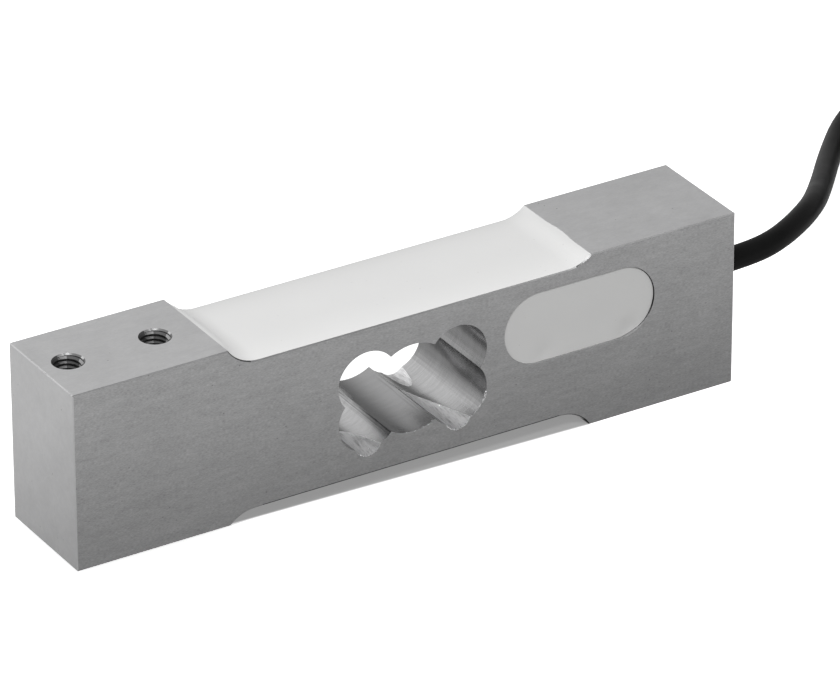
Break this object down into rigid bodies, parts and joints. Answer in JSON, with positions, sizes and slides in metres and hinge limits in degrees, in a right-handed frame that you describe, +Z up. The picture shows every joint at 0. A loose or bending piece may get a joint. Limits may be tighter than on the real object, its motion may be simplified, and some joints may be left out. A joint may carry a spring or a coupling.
{
  "type": "single-point load cell",
  "caption": "Aluminium bar load cell with a lobed bending cut-out, silicone over its gauges, tapped mounting pads and one signal cable.",
  "frame": {"origin": "under the middle of the bar, in the plane of its lowest face", "axes": "+X along the bar towards the cable's end, +Y away from the side pocket, +Z up"},
  "size_m": [0.3149, 0.1033, 0.0398],
  "materials": {
    "bar_aluminium": "fine milled grain, bare",
    "recess_silicone": "satin white silicone",
    "pocket_silicone": "matt grey-white silicone",
    "black_sealant": "satin",
    "cable_jacket": "satin black jacket",
    "tie_nylon": "satin nylon",
    "shrunk_sleeve": "satin",
    "gauge_foil": "amber film with a foil grid",
    "terminal_strip": "amber laminate",
    "lead_enamel": "enamelled wire",
    "solder": "bright solder",
    "tinned_copper": "tinned",
    "circuit_board": "green laminate",
    "wound_resistor": "enamelled winding on a bobbin",
    "chip_resistor": "black glaze",
    "core_red": "satin insulation",
    "core_black": "satin insulation",
    "core_green": "satin insulation",
    "core_white": "satin insulation"
  },
  "bodies": {
    "root": {"balance_trim_resistor": "chip_resistor", "beam": "bar_aluminium", "board_solder_joints": "solder", "bottom_gauge_lead_1": "lead_enamel", "bottom_gauge_lead_2": "lead_enamel", "bottom_gauge_lead_3": "lead_enamel", "bottom_gauge_lead_4": "lead_enamel", "bottom_potting": "recess_silicone", "bottom_solder_joints": "solder", "bottom_terminal_strip": "terminal_strip", "cable_coil": "cable_jacket", "cable_entry_seal": "black_sealant", "cable_sleeve": "shrunk_sleeve", "cable_stub": "cable_jacket", "cable_tail": "cable_jacket", "cable_tube": "cable_jacket", "coil_tie_1": "tie_nylon", "coil_tie_2": "tie_nylon", "compensation_board": "circuit_board", "core_tip_black": "tinned_copper", "core_tip_green": "tinned_copper", "core_tip_red": "tinned_copper", "core_tip_white": "tinned_copper", "end_core_black": "core_black", "end_core_green": "core_green", "end_core_red": "core_red", "end_core_white": "core_white", "end_drain_wire": "tinned_copper", "gauge_jumpers_bottom_left": "tinned_copper", "gauge_jumpers_bottom_right": "tinned_copper", "gauge_jumpers_top_left": "tinned_copper", "gauge_jumpers_top_right": "tinned_copper", "inner_core_black": "core_black", "inner_core_green": "core_green", "inner_core_red": "core_red", "inner_core_white": "core_white", "inner_drain_wire": "tinned_copper", "pocket_potting": "pocket_silicone", "span_resistor_1": "wound_resistor", "span_resistor_2": "wound_resistor", "strain_gauge_bottom_left": "gauge_foil", "strain_gauge_bottom_right": "gauge_foil", "strain_gauge_top_left": "gauge_foil", "strain_gauge_top_right": "gauge_foil", "top_gauge_lead_1": "lead_enamel", "top_gauge_lead_2": "lead_enamel", "top_gauge_lead_3": "lead_enamel", "top_gauge_lead_4": "lead_enamel", "top_potting": "recess_silicone", "top_solder_joints": "solder", "top_terminal_strip": "terminal_strip", "zero_trim_resistor": "chip_resistor"}
  },
  "joints": []
}
